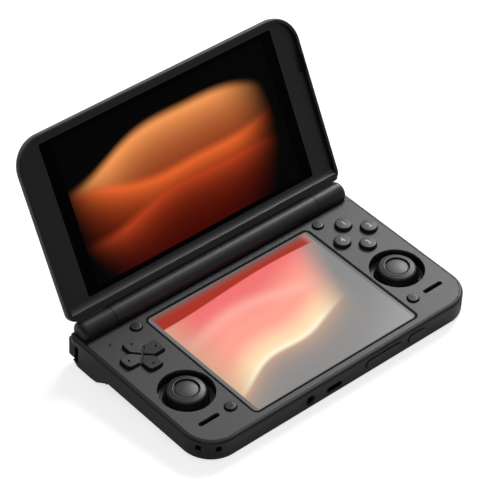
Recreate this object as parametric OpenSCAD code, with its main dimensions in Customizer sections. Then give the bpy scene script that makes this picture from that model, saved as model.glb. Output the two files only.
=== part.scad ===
// Clamshell handheld game console: a base with two thumb sticks, a direction pad,
// buttons and a lower display, and a lid that carries the upper display.
// X runs to the right, Y to the hinge and Z up. The origin is the centre of the
// base's flat underside. Lengths are in millimetres, angles in degrees.

/* [Base] */
// Width of the base and the lid
base_w = 155.4; // [150:0.1:165]
// Depth of the base, front wall to rear wall
base_d = 91.2; // [88:0.1:98]
// Thickness of the base, flat underside to deck
base_t = 10.6; // [10.4:0.1:12]
// Radius of the front corners, seen from above
front_r = 14.6; // [12:0.1:17]
// Radius of the rear corners, seen from above
rear_r = 4; // [3.5:0.1:6]
// Thickness of the side walls
wall_t = 1.6; // [1.3:0.1:2]
// Thickness of the floor
floor_t = 1.2; // [1:0.1:1.5]
// Rounding of the upper edge
rim_r = 1.6; // [1:0.1:1.7]
// Rounding of the lower edge
keel_r = 1.6; // [1:0.1:2.5]

/* [Rear grip] */
// Distance from the rear wall to the start of the slope
grip_l = 25.4; // [24:0.1:27]
// Depth of the grip below the flat underside
grip_drop = 5.4; // [4.5:0.1:6.5]

/* [Deck] */
// Width of the base's rim round the deck
rim_w = 1.75; // [1.6:0.05:2.2]
// Thickness of the deck
deck_t = 1.5; // [1.2:0.1:1.7]
// Gap between the deck and the rim
deck_gap = 0.25; // [0.1:0.05:0.3]

/* [Lower display] */
// Width of the window in the deck
window_w = 94.7; // [90:0.1:95]
// Depth of the window in the deck
window_d = 73.3; // [68:0.1:74]
// Distance from the deck's front edge to the window
window_front = 2.6; // [2:0.1:4]
// Width of the rubber gasket round the glass
gasket_w = 1.2; // [0.8:0.1:1.5]
// Thickness of the lower glass
lower_glass_t = 0.7; // [0.5:0.1:0.8]

/* [Thumb sticks] */
// Distance of each stick from the centre line
stick_x = 60.7; // [60.7:0.1:61.3]
// Distance of each stick from the deck's front edge
stick_y = 31.2; // [30:0.1:32]
// Radius of the well round a stick
well_r = 12.4; // [12:0.1:12.4]
// Radius of the stick's cap
cap_r = 8.8; // [7.5:0.1:9]
// Height of the cap above the deck
cap_rise = 1.5; // [1:0.1:1.5]
// Depth of the tilting centre below the deck
stick_pivot = 7; // [6.9:0.1:7]

/* [Direction pad] */
// Distance of the pad from the centre line
dpad_x = 61.8; // [61:0.1:62.2]
// Distance of the pad from the deck's front edge
dpad_y = 58.8; // [58:0.1:59.5]
// Length of the cross, tip to tip
dpad_l = 20; // [19:0.1:23]
// Width of each arm
dpad_w = 6.9; // [6.6:0.1:8.4]
// Height of the arms above the deck
dpad_rise = 1.6; // [1:0.1:1.8]

/* [Buttons] */
// Distance of the four action buttons' middle from the centre line
action_x = 61.5; // [61:0.1:62]
// Distance of the four action buttons' middle from the deck's front edge
action_y = 58.8; // [58:0.1:59.2]
// Distance of each action button from that middle
action_pitch = 8.1; // [8:0.05:8.4]
// Radius of an action button
action_r = 3.8; // [3.6:0.05:4.5]
// Height of the action buttons above the deck
action_rise = 1.8; // [1.2:0.1:2]
// Radius of a menu button
menu_r = 2.55; // [2.5:0.05:3.3]
// Height of the menu buttons above the deck
menu_rise = 1; // [0.6:0.1:1]
// Distance of the menu buttons from the centre line
menu_x = 52.6; // [52.4:0.1:53]
// Distance of the front menu buttons from the deck's front edge
menu_front_y = 12.6; // [12:0.1:13]
// Distance of the rear menu buttons from the deck's front edge
menu_rear_y = 74.1; // [73.5:0.1:74.5]
// Clearance between a button and its hole
key_gap = 0.3; // [0.2:0.05:0.35]
// Travel of the buttons that the silicone domes return
key_travel = 0.8; // [0.5:0.1:0.8]

/* [Speakers] */
// Distance of a speaker's slot from the centre line
speaker_x = 64.4; // [64:0.1:65]
// Distance of a speaker's slot from the deck's front edge
speaker_y = 12.5; // [12:0.1:13]
// Length of the slot
slot_l = 10.5; // [8:0.1:11]
// Width of the slot
slot_w = 1.8; // [1.2:0.1:2.2]

/* [Front edge] */
// Distance of the headphone jack to the left of the centre line
jack_x = 20.4; // [20:0.1:23]
// Radius of the jack's bore
jack_bore_r = 1.8; // [1.8:0.05:1.9]
// Distance of the charging port to the left of the centre line
usb_x = 6.6; // [6:0.1:8]
// Width of the charging port's shell
usb_w = 8.9; // [8.9:0.05:9]
// Height of the charging port's shell
usb_h = 3.1; // [3.1:0.05:3.2]
// Distance of the volume rocker to the right of the centre line
volume_x = 22.1; // [21:0.1:23]
// Length of the volume rocker
volume_l = 20.8; // [18:0.1:21]
// Distance of the power button to the right of the centre line
power_x = 41.7; // [41.5:0.1:42.5]
// Length of the power button
power_l = 10.4; // [9:0.1:10.6]
// Height of the side keys
side_key_h = 4.5; // [4:0.1:4.6]
// Height of the front ports' centre line above the underside
port_z = 5.6; // [5.5:0.1:5.7]

/* [Shoulder buttons] */
// Length of a shoulder button, tip to inner end
shoulder_l = 27.4; // [25:0.1:28]
// Depth of the pocket behind the side wall
shoulder_d = 7.2; // [7:0.1:7.4]
// Height of each of the two stacked buttons
shoulder_h = 4; // [3.6:0.1:4]
// Room between a lever's inside and the pocket's wall
lever_room = 3.3; // [3.1:0.1:3.4]

/* [Hinge] */
// Radius of the hinge barrel
barrel_r = 5.1; // [4.8:0.05:5.4]
// Half length of the lid's middle barrel
barrel_half = 58.15; // [57:0.05:59]
// Height of the hinge axis above the deck
hinge_rise = 1.7; // [1.6:0.05:2]
// Radius of the hinge shafts
shaft_r = 1.5; // [1.2:0.05:1.8]
// Running clearance between a pin and its bore
run_gap = 0.05; // [0.03:0.01:0.08]
// Gap between neighbouring barrel segments
seam_gap = 0.3; // [0.25:0.05:0.4]

/* [Lid] */
// Angle between the lid and the closed position
lid_open = 118.7; // [100:0.1:140]
// Height of the lid's inner face above the hinge axis, closed
lid_lift = 1.2; // [1.2:0.05:1.5]
// Distance from the hinge axis to the lid's near edge
lid_near = 5.45; // [5.45:0.05:6.4]
// Overhang of the closed lid past the front wall
lid_over = 1.3; // [0:0.1:1.5]
// Thickness of the lid, inner face to back
lid_t = 4.1; // [4.1:0.1:5.5]
// Rounding of the lid's back edge
lid_round = 3.5; // [2:0.1:3.6]
// Radius of the lid's far corners
lid_far_r = 14; // [12:0.1:15.5]
// Radius of the lid's near corners
lid_near_r = 4; // [4:0.1:6]
// Width of the lip round the inner face
lip_w = 1.75; // [1.6:0.05:2]
// Height of the lip above the inner face
lip_h = 1.7; // [0.3:0.05:1.7]
// Thickness of the bezel
bezel_t = 1.2; // [1.1:0.1:1.3]

/* [Upper display] */
// Width of the upper glass
upper_glass_w = 128.8; // [124:0.1:130]
// Height of the upper glass
upper_glass_l = 70.6; // [66:0.1:71]
// Distance from the hinge axis to the upper glass
upper_glass_near = 12.2; // [12.2:0.1:12.6]
// Thickness of the upper glass
upper_glass_t = 0.8; // [0.6:0.1:0.9]
// Depth of the glass below the bezel's face
upper_glass_sink = 0.25; // [0.15:0.05:0.3]

/* [Hidden] */
$fn = 96;
cut = 1; // how far a cut runs past the faces it opens
fit = 0.05; // gap between fixed pieces of one body
half_w = base_w / 2;
front_y = -base_d / 2;
rear_y = base_d / 2;

// deck
deck_half = half_w - rim_w;
deck_front = front_y + rim_w;
deck_under = base_t - deck_t;
deck_r = front_r - rim_w;
ledge_w = 1.7; // how far the rim's ledge reaches under the deck
ledge_t = 1.5;
well_t = 0.9; // wall of a stick well

// hinge
hinge_y = rear_y - barrel_r;
hinge_z = base_t + hinge_rise;
trough_r = barrel_r + seam_gap;
deck_rear = hinge_y - trough_r - fit;
split_y = rear_y - grip_l - 1; // where the base's front part meets the rear part
knuckle_x = barrel_half + seam_gap;
knuckle_end = half_w - 2.2;
knuckle_round = 2.4;
sleeve_r = shaft_r + 1.5;
sleeve_l = 13;

// inside of the base
cavity_half = half_w - wall_t;
cavity_front = front_y + wall_t;
cavity_rear = hinge_y - trough_r - 1.2;
board_t = 1;
board_z = floor_t + 2; // underside of the boards at the sides
board_top = board_z + board_t;
board_half = window_w / 2 - 1.35; // half width of the main board
side_board_x = board_half + 1.5; // where the boards at the sides start
side_pad_x = side_board_x + 1;
battery_y = cavity_front + 14;
battery_l = 28;
post_y = deck_front + 47.85; // first row of the posts under the boards

// lower display
window_y0 = deck_front + window_front;
window_y1 = window_y0 + window_d;
window_half = window_w / 2;
window_r = 3;
glass_z = base_t - 0.05;

// keys
flange_t = 1;
flange_w = 0.7; // how far a key's flange reaches past its body
flange_z = deck_under - 0.2 - flange_t;
dome_z = flange_z - key_travel - 0.1;
pad_t = 0.65;

// sticks
pivot_z = base_t - stick_pivot;
slider_r = 7.2;
slider_bore_r = 5.8;
slider_h = 3.25;
click_travel = 0.3;
slider_z = pivot_z - 1.65;
housing_r = 8.4;
housing_z = floor_t + fit;
housing_top = pivot_z + 2;
skirt_r = cap_r + 0.8; // the dome under the cap
trunnion_r = 0.7;

// direction pad
dpad_pivot_z = base_t - 4.6;
dpad_ball_r = 1.6;
dpad_flange_z = dpad_pivot_z + 1.3;
dpad_gap = 0.55;

// front edge
bay_d = 2.1; // depth of the bay behind the side keys
side_key_rise = 0.4;
port_board_t = 0.8;
port_board_z = floor_t + 0.3;
port_board_top = port_board_z + port_board_t;
volume_axis_y = cavity_front + 1.1;
jack_nose_r = jack_bore_r + 1;
jack_l = 12;
jack_z = port_z - 0.4;
usb_z = port_z - 1;

// shoulder buttons
pocket_y = rear_y - shoulder_d;
pocket_z = -1.9;
pocket_top = pocket_z + 2 * shoulder_h + 0.7;
pocket_x = half_w - shoulder_l - 1.7;
lever_tip = half_w - 0.8;
lever_y = pocket_y + lever_room;
lever_back = rear_y + 1.3;
lever_pin_x = pocket_x + 2.4;
lever_pin_y = pocket_y + 2.4;
lever_pin_r = 0.8;
trigger_z = pocket_z + 0.2;
shoulder_z = trigger_z + shoulder_h + 0.3;

// lid, in its own frame: the hinge axis is the origin, -Y runs to the free edge
lid_far = hinge_y - front_y + lid_over;
lid_back_z = lid_lift + lid_t;
ridge_h = lip_h; // the raised strip along the bezel's near edge
ridge_w = 3.2;
upper_glass_half = upper_glass_w / 2;
upper_glass_z = lid_lift + upper_glass_sink;
upper_display_z = upper_glass_z + upper_glass_t + fit;
upper_display_t = 1;
lid_frame_z = upper_display_z + upper_display_t + fit;
lid_frame_t = 0.7;
lid_cover_in = lid_frame_z + lid_frame_t + 0.1;
bezel_in = lip_w + 0.15;
arm_x = barrel_half - 6.15;
arm_w = 6;
arm_z = lid_lift + bezel_t + 0.1;
arm_t = lid_frame_z - fit - arm_z;
neck_z0 = arm_z;
neck_z1 = 4.2;
barrel_bore_r = barrel_r - 1.4;
lid_screw_at = [for (s = [-1, 1]) for (y = [-lid_near - 14.5, 11.4 - lid_far]) [s * (half_w - 9.7), y]];

// screws of the base: three a side
base_screw_at = [
  for (s = [-1, 1])
    for (p = [[half_w - 23.2, deck_front + 3.55], [deck_half - 3.95, deck_rear - 1.75],
      [board_half - 6, deck_rear - 0.85]]) [s * p[0], p[1]]
];
screw_r = 0.85;
screw_head_r = 1.7;
screw_head_t = 1.2;
post_r = 2.3;

tray_colour = "#262626";
deck_colour = "#6a6a6a";
key_colour = "#5c5c5c";
lid_colour = "#232323";
black_plastic = "#161616";
rubber_colour = "#101010";
glass_colour = "#0a0a0c";
steel_colour = "#a8aab0";
board_colour = "#1f4a33";
battery_colour = "#3c3f46";

// a child and its mirror image
module both() {
  children();
  mirror([1, 0, 0]) children();
}

// a child on the left (-1) or as drawn on the right (1)
module on_side(side) {
  if (side < 0) mirror([1, 0, 0]) children();
  else children();
}

// rectangle with its own corner radius at low Y and at high Y
module round_rect(x0, x1, y0, y1, r0, r1) {
  translate([x0 + r0, y0]) square([x1 - x0 - 2 * r0, y1 - y0 - r1]);
  translate([x0, y0 + r0]) square([x1 - x0, y1 - y0 - r0 - r1]);
  translate([x0 + r1, y0 + r0]) square([x1 - x0 - 2 * r1, y1 - y0 - r0]);
  for (x = [x0 + r0, x1 - r0]) translate([x, y0 + r0]) circle(r0);
  for (x = [x0 + r1, x1 - r1]) translate([x, y1 - r1]) circle(r1);
}

// slot with round ends, centred, its length along X
module stadium(l, w) {
  square([l - w, w], center = true);
  for (s = [-1, 1]) translate([s * (l - w) / 2, 0]) circle(w / 2);
}

// half of a wall's section: len outwards, rounded by low at z0 and by high at z1
module edge_section(len, z0, z1, low, high) {
  intersection() {
    translate([0, z0]) square([len, z1 - z0]);
    union() {
      translate([0, z0 + low]) square([len, z1 - z0 - low - high]);
      if (low > 0) {
        translate([0, z0]) square([len - low, low + 0.01]);
        translate([len - low, z0 + low]) circle(low);
      }
      if (high > 0) {
        translate([0, z1 - high - 0.01]) square([len - high, high + 0.01]);
        translate([len - high, z1 - high]) circle(high);
      }
    }
  }
}

// slab with rounded corners and rounded edges: r0 at low Y, r1 at high Y; an r1 of 0
// leaves that end flat
module soft_slab(x0, x1, y0, y1, r0, r1, z0, z1, low, high) {
  corners = [
    [x0 + r0, y0 + r0, 180, r0], [x1 - r0, y0 + r0, 270, r0],
    [x1 - r1, y1 - r1, 0, r1], [x0 + r1, y1 - r1, 90, r1]
  ];
  len = max(r0, r1);
  for (c = corners) {
    if (c[3] > 0) translate([c[0], c[1], 0]) rotate([0, 0, c[2]])
      rotate_extrude(angle = 90) edge_section(c[3], z0, z1, low, high);
  }
  translate([x1 - len, y1 - r1, 0]) rotate([90, 0, 0])
    linear_extrude(y1 - y0 - r0 - r1) edge_section(len, z0, z1, low, high);
  translate([x0 + len, y0 + r0, 0]) rotate([0, 0, 180]) rotate([90, 0, 0])
    linear_extrude(y1 - y0 - r0 - r1) edge_section(len, z0, z1, low, high);
  translate([x1 - r0, y0 + len, 0]) rotate([0, 0, -90]) rotate([90, 0, 0])
    linear_extrude(x1 - x0 - 2 * r0) edge_section(len, z0, z1, low, high);
  if (r1 > 0) translate([x0 + r1, y1 - len, 0]) rotate([0, 0, 90]) rotate([90, 0, 0])
    linear_extrude(x1 - x0 - 2 * r1) edge_section(len, z0, z1, low, high);
  translate([x0 + r0, y0 + r0, z0]) cube([x1 - x0 - 2 * r0, y1 - y0 - r0 - r1, z1 - z0]);
}

// a section drawn in Y and Z, run from x0 to x1
module run_x(x0, x1) {
  translate([x0, 0, 0]) rotate([90, 0, 90]) linear_extrude(x1 - x0) children();
}

// a round bar along X
module bar_x(r, x0, x1) {
  translate([x0, 0, 0]) rotate([0, 90, 0]) cylinder(r = r, h = x1 - x0);
}

// a section drawn in X and Z, run from y0 to y1
module run_y(y0, y1) {
  translate([0, y1, 0]) rotate([90, 0, 0]) linear_extrude(y1 - y0) children();
}

module at_hinge() {
  translate([0, hinge_y, hinge_z]) children();
}

// children drawn in the lid's own frame, at the lid's open angle
module in_lid() {
  at_hinge() rotate([-lid_open, 0, 0]) children();
}

module at_stick(side) {
  translate([side * stick_x, deck_front + stick_y, pivot_z]) children();
}

module at_dpad() {
  translate([-dpad_x, deck_front + dpad_y, 0]) children();
}

module lever_plan(tip, inner, back) {
  difference() {
    union() {
      translate([inner, lever_y]) square([tip - inner - 2, back - lever_y]);
      translate([inner, lever_y]) square([tip - inner, back - lever_y - 2]);
      translate([tip - 2, back - 2]) circle(2);
      translate([inner, lever_pin_y - 1]) square([4, back - lever_pin_y]);
      translate([lever_pin_x, lever_pin_y]) circle(1.9);
    }
    translate([lever_pin_x, lever_pin_y]) circle(lever_pin_r + run_gap);
  }
}

// section of the grip below the base; in is how far it lies inside the outer face
module grip_section(in, top) {
  y0 = rear_y - grip_l;
  polygon([
    [y0 - 1 + 2 * in, top], [y0 + in, in], [y0 + 5.7 + 0.6 * in, 1.7 - grip_drop + in],
    [y0 + 12.8, 0.4 - grip_drop + in], [rear_y - 8 - 0.4 * in, -grip_drop + in],
    [rear_y - 2.4 - 0.7 * in, in - 0.8], [rear_y - in, 2.6], [rear_y - in, top]
  ]);
}

// rear end of the base, with the grip below
module grip_solid() {
  intersection() {
    run_x(-half_w, half_w) polygon([
      [split_y, 0], [rear_y - grip_l, 0], [rear_y - grip_l + 5.7, 1.7 - grip_drop],
      [rear_y - grip_l + 12.8, 0.4 - grip_drop], [rear_y - 8, -grip_drop],
      [rear_y - 2.4, -0.8], [rear_y, 2.6], [rear_y, base_t - 1.3],
      [rear_y - 1.3, base_t], [split_y, base_t]
    ]);
    run_y(split_y, rear_y) translate([0, -grip_drop])
      round_rect(-half_w, half_w, 0, base_t + grip_drop, keel_r, rim_r);
    translate([0, 0, -grip_drop]) linear_extrude(base_t + grip_drop)
      round_rect(-half_w, half_w, split_y - 1, rear_y, 0.5, rear_r);
  }
}

module knuckle(side) {
  on_side(side) at_hinge() translate([knuckle_x, 0, 0]) rotate([0, 90, 0])
    rotate_extrude() edge_section(barrel_r, 0, knuckle_end - knuckle_x, 0, knuckle_round);
}

// the ring sector behind a front corner: from radius r0 to r1 and angle a0 to a1
module corner_sector(r0, r1, a0, a1, z0, z1) {
  translate([half_w - front_r, front_y + front_r, z0]) rotate([0, 0, -a1])
    rotate_extrude(angle = a1 - a0) translate([r0, 0]) square([r1 - r0, z1 - z0]);
}

module lanyard_hole(a) {
  translate([half_w - front_r, front_y + front_r, 0]) rotate([0, 0, -a])
    translate([front_r - 3, -1.25, lanyard_z]) cube([4, 2.5, lanyard_h]);
}

lanyard_z = base_t - 5.3;
lanyard_h = 2.8;
lanyard_at = [29, 63]; // angles round the front corner

// Lower casing: walls, floor, rear grip and the two outer barrel segments
module base_tray() {
  color(tray_colour) difference() {
    union() {
      difference() {
        union() {
          soft_slab(-half_w, half_w, front_y, split_y, front_r, 0, 0, base_t, keel_r, rim_r);
          grip_solid();
          for (s = [-1, 1]) knuckle(s);
        }
        // room for the boards, below and above the ledge that carries the deck
        translate([0, 0, floor_t]) linear_extrude(deck_under - ledge_t - floor_t)
          round_rect(-cavity_half, cavity_half, cavity_front, cavity_rear,
            front_r - wall_t, 1);
        translate([0, 0, floor_t]) linear_extrude(base_t)
          round_rect(-deck_half + ledge_w, deck_half - ledge_w, deck_front + ledge_w,
            cavity_rear, deck_r - ledge_w, 1);
        translate([0, 0, deck_under]) linear_extrude(base_t)
          round_rect(-deck_half - deck_gap, deck_half + deck_gap, deck_front - deck_gap,
            deck_rear + fit, deck_r + deck_gap, 1.5);
        // hollow of the grip
        run_x(1 - pocket_x, pocket_x - 1) intersection() {
          grip_section(floor_t, hinge_z - trough_r - 1.2);
          translate([0, -base_t]) square([rear_y, 2 * base_t]);
        }
        run_x(-cavity_half, cavity_half) intersection() {
          grip_section(floor_t, floor_t + 2);
          translate([0, -base_t]) square([pocket_y - wall_t, 2 * base_t]);
        }
      }
      // screw posts, and the blocks behind the wrist strap holes
      for (p = base_screw_at) translate([p[0], p[1], 0])
        cylinder(r = post_r, h = deck_under - 0.5);
      both() corner_sector(front_r - 4.3, front_r - 1, lanyard_at[0] - 12, lanyard_at[1] + 12,
        lanyard_z - 1, deck_under);
      // posts under the boards
      both() for (p = [[side_board_x + 3, post_y], [cavity_half - 3.6, post_y - 2],
        [side_board_x + 2.5, post_y + 13], [board_half - 6, post_y], [board_half - 6, post_y + 13]])
          translate([p[0], p[1], floor_t - 0.1]) cylinder(r = 1.5, h = board_z - floor_t + 0.1);
      for (x = [-26, 5, side_board_x - 1.8]) translate([x, cavity_front + 6, floor_t - 0.1])
        cylinder(r = 1.5, h = port_board_z - floor_t + 0.1);
    }
    // trough for the lid's barrel, and the bores for the hinge sleeves
    at_hinge() bar_x(trough_r, -knuckle_x, knuckle_x);
    both() at_hinge() bar_x(sleeve_r + fit, knuckle_x - cut, knuckle_x + sleeve_l + 0.5);
    both() at_hinge() bar_x(shaft_r + 0.3, knuckle_x, knuckle_x + sleeve_l + 2);
    for (p = action_at) key_room(p, action_r);
    for (p = menu_at) key_room(p, menu_r);
    // pockets for the shoulder buttons, and the seats of their pins
    both() translate([pocket_x, pocket_y, pocket_z])
      cube([half_w, shoulder_d + cut, pocket_top - pocket_z]);
    both() translate([lever_pin_x, lever_pin_y, pocket_z - 0.6])
      cylinder(r = lever_pin_r + run_gap, h = pocket_top - pocket_z + 0.6);
    // front edge: jack, charging port, microphone and side keys
    translate([-jack_x, 0, jack_z]) rotate([90, 0, 0])
      cylinder(r = jack_nose_r + fit, h = base_d);
    translate([-jack_x - 3.4, deck_front - 0.5, port_board_top])
      cube([6.8, 8, deck_under - port_board_top]);
    run_y(front_y - cut, cavity_front + cut) translate([-usb_x, usb_z])
      stadium(usb_w + 2 * fit, usb_h + 2 * fit);
    translate([-usb_x - 7.6, cavity_front + 4, base_t - 2.9]) rotate([90, 0, 0])
      cylinder(r = 0.35, h = 8);
    run_y(front_y - cut, cavity_front + cut) {
      translate([volume_x, port_z]) stadium(volume_l + 2 * key_gap, side_key_h + 2 * key_gap);
      translate([power_x, port_z]) stadium(power_l + 2 * key_gap, side_key_h + 2 * key_gap);
    }
    translate([volume_x - volume_l / 2 - 1.2, cavity_front, port_z - 3])
      cube([power_x + power_l / 2 - volume_x + volume_l / 2 + 2.4, bay_d,
        deck_under - port_z + 3]);
    // wrist strap holes: two square holes that meet behind the wall at each corner
    both() corner_sector(front_r - 3.4, front_r - 1.8, lanyard_at[0], lanyard_at[1],
      lanyard_z + 0.2, lanyard_z + lanyard_h - 0.2);
    both() for (a = lanyard_at) lanyard_hole(a);
    // screws
    for (p = base_screw_at) translate([p[0], p[1], -grip_drop - cut]) {
      cylinder(r = screw_head_r + 0.15, h = grip_drop + cut + 1.4);
      cylinder(r = screw_r + fit, h = grip_drop + cut + deck_under - 1.3);
    }
  }
}

// room below the deck for a round key's flange
module key_room(p, r) {
  translate([p[0], p[1], flange_z - key_travel - 0.3])
    cylinder(r = r + flange_w + 0.3, h = flange_t + key_travel + 0.5);
}

module cross_plan(l, w, round) {
  for (a = [0, 90]) rotate(a) {
    square([l - 2 * round, w], center = true);
    square([l, w - 2 * round], center = true);
    for (x = [-1, 1]) for (y = [-1, 1])
      translate([x * (l / 2 - round), y * (w / 2 - round)]) circle(round);
  }
}

// Deck: the plate with the windows for the display, the sticks and the keys
module deck_plate() {
  color(deck_colour) difference() {
    union() {
      translate([0, 0, deck_under]) linear_extrude(deck_t)
        round_rect(-deck_half, deck_half, deck_front, deck_rear, deck_r, 1.5);
      // walls of the stick wells, with a flange and a low ring at their foot
      for (s = [-1, 1]) at_stick(s) {
        translate([0, 0, 0.8]) cylinder(r = well_r + well_t, h = deck_under - pivot_z - 0.7);
      }
    }
    translate([0, 0, deck_under - cut]) linear_extrude(base_t)
      round_rect(-window_half, window_half, window_y0, window_y1, window_r, window_r);
    for (s = [-1, 1]) at_stick(s) {
      translate([0, 0, 1.6]) cylinder(r = well_r, h = base_t);
      cylinder(r = skirt_r + 0.5, h = base_t);
    }
    at_dpad() translate([0, 0, deck_under - cut]) linear_extrude(base_t)
      cross_plan(dpad_l + 2 * dpad_gap, dpad_w + 2 * dpad_gap, 1.6);
    for (p = action_at) translate([p[0], p[1], deck_under - cut])
      cylinder(r = action_r + key_gap, h = base_t);
    for (p = menu_at) translate([p[0], p[1], deck_under - cut])
      cylinder(r = menu_r + key_gap, h = base_t);
    both() translate([speaker_x, deck_front + speaker_y, deck_under - cut])
      linear_extrude(base_t) stadium(slot_l, slot_w);
    translate([light_at[0], light_at[1], deck_under - cut]) cylinder(r = 0.55, h = base_t);
  }
  color(deck_colour) for (s = [-1, 1]) at_stick(s) translate([0, 0, 1.55]) difference() {
    cylinder(r = well_r - 1.1, h = 0.6);
    translate([0, 0, -cut]) cylinder(r = skirt_r + 0.9, h = 3);
  }
}

action_at = [
  [action_x, deck_front + action_y + action_pitch],
  [action_x + action_pitch, deck_front + action_y],
  [action_x, deck_front + action_y - action_pitch],
  [action_x - action_pitch, deck_front + action_y]
];
menu_at = [
  [-menu_x, deck_front + menu_rear_y], [menu_x, deck_front + menu_rear_y],
  [-menu_x, deck_front + menu_front_y], [menu_x, deck_front + menu_front_y]
];
light_at = [-menu_x - 15.6, deck_front + menu_rear_y - 1.7];

module window_ring(grow, z0, z1) {
  translate([0, 0, z0]) linear_extrude(z1 - z0)
    round_rect(-window_half + grow, window_half - grow, window_y0 + grow,
      window_y1 - grow, window_r - grow, window_r - grow);
}

// Rubber gasket between the deck and the lower glass
module lower_gasket() {
  color(rubber_colour) difference() {
    window_ring(fit, deck_under + fit, base_t);
    window_ring(gasket_w, deck_under - cut, base_t + cut);
  }
}

module lower_glass() {
  color(glass_colour) window_ring(gasket_w + fit, glass_z - lower_glass_t, glass_z);
}

// Display panel, bonded under the lower glass
module lower_display() {
  display_z = glass_z - lower_glass_t - fit;
  color(black_plastic) translate([0, 0, display_z - 1.05]) linear_extrude(1.05)
    round_rect(-window_half + 2, window_half - 2, window_y0 + 2, window_y1 - 1.8, 1, 1);
}

// Main circuit board, behind the battery
module main_board() {
  color(board_colour) difference() {
    translate([-board_half, battery_y + battery_l + 1, board_z])
      cube([2 * board_half, cavity_rear - battery_y - battery_l - 2.5, board_t]);
    for (p = base_screw_at) translate([p[0], p[1], 0]) cylinder(r = post_r + 0.3, h = base_t);
  }
}

module processor_shield() {
  color(steel_colour) translate([-18, battery_y + battery_l + 5, board_top + fit])
    cube([36, 25, 2.2]);
}

module battery() {
  color(battery_colour) translate([2 - board_half, battery_y, floor_t + 0.1])
    cube([2 * board_half - 4, battery_l, 5.4]);
}

// Circuit board under the keys and the stick of one side
module control_board(side) {
  color(board_colour) on_side(side) difference() {
    union() {
      translate([side_board_x, deck_front + 6.5, board_z])
        cube([cavity_half - side_board_x - 1, 68, board_t]);
      translate([side_board_x, deck_front + 60, board_z]) cube([18, 17, board_t]);
    }
    translate([stick_x, deck_front + stick_y, 0]) cylinder(r = skirt_r + 0.7, h = base_t);
    translate([half_w - front_r, front_y + front_r, 0]) difference() {
      translate([0, -front_r, 0]) cube([front_r, front_r, base_t]);
      cylinder(r = front_r - 4.8, h = base_t);
    }
  }
}

module silicone_dome(p, top) {
  translate([p[0], p[1], board_top + fit]) cylinder(r1 = 3.4, r2 = 2.4, h = top - board_top - fit);
}

// Silicone pads with a dome under each key: under the direction pad on the left,
// under the action buttons on the right, and under the menu buttons of both
module key_pad(side) {
  pad_z = board_top + fit;
  rear = deck_front + 47;
  color("#8f8f8f") difference() {
    union() {
      on_side(side) {
        translate([side_pad_x, rear, pad_z]) cube([cavity_half - 2.6 - side_pad_x, 27, pad_t]);
        translate([side_pad_x, rear, pad_z]) cube([9, cavity_rear - 0.2 - rear, pad_t]);
        translate([side_pad_x, deck_front + menu_front_y - 4.2, pad_z]) cube([8, 8.4, pad_t]);
      }
      for (p = menu_at) if (sign(p[0]) == side) silicone_dome(p, dome_z);
      if (side > 0) for (p = action_at) silicone_dome(p, dome_z);
      else at_dpad() for (a = [0:90:270]) rotate([0, 0, a])
        silicone_dome([8, 0], dpad_flange_z - 0.7);
    }
    if (side < 0) at_dpad() cylinder(r = 3, h = base_t);
    for (p = base_screw_at) translate([p[0], p[1], 0]) cylinder(r = post_r + 0.3, h = base_t);
    translate([light_at[0], light_at[1], 0]) cylinder(r = 1, h = base_t);
  }
}

// Loudspeaker behind a slot of the deck
module speaker(side) {
  speaker_h = deck_under - board_top - 2 * fit;
  color(black_plastic) on_side(side)
    translate([speaker_x, deck_front + speaker_y, board_top + fit]) difference() {
      linear_extrude(speaker_h) round_rect(-7, 7, -4.3, 4.3, 2, 2);
      translate([0, 0, speaker_h - 1]) linear_extrude(cut + 1) stadium(11.6, 6.2);
    }
}

// Case of a stick: a round bore for the sliding carrier, and a lid with a hole
module stick_housing(side) {
  color(black_plastic) at_stick(side) difference() {
    translate([0, 0, housing_z - pivot_z]) cylinder(r = housing_r, h = housing_top - housing_z);
    // room for the carrier to slide down
    translate([0, 0, slider_z - pivot_z - click_travel - fit])
      cylinder(r = slider_r + run_gap, h = slider_h + click_travel + 3 * fit);
    translate([0, 0, -cut]) cylinder(r = slider_bore_r, h = base_t);
  }
}

// Carrier that slides down in the housing when the stick is clicked
module stick_slider(side) {
  color("#3a3a3c") at_stick(side) difference() {
    translate([0, 0, slider_z - pivot_z]) cylinder(r = slider_r, h = slider_h);
    translate([0, 0, -base_t]) cylinder(r = slider_bore_r, h = 2 * base_t);
    bar_x(trunnion_r + run_gap, -base_t, base_t);
  }
}

// Gimbal: its trunnions turn in the carrier, and the stick's cross pin in its sides
module stick_gimbal(side) {
  color(steel_colour) at_stick(side) difference() {
    union() {
      cube([7.6, 5.4, 1.4], center = true);
      bar_x(trunnion_r, -slider_r + 0.3, slider_r - 0.3);
    }
    cube([5.6, 3.6, 3], center = true);
    rotate([0, 0, 90]) bar_x(0.5 + run_gap, -4, 4);
  }
}

function cap_profile(r, top) = [
  for (i = [0:6]) [i * 4.9 / 6, top - 0.15 - 0.6 * pow(i / 6, 2)],
  [5.1, top - 0.8], [5.45, top - 0.1], [5.7, top], [6, top - 0.05], [6.3, top - 0.25],
  [r - 0.8, top - 0.6], [r - 0.2, top - 1], [r, top - 1.5], [r, top - 2.2],
  [r - 0.3, top - 2.6], [r - 0.8, top - 2.7]
];

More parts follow.
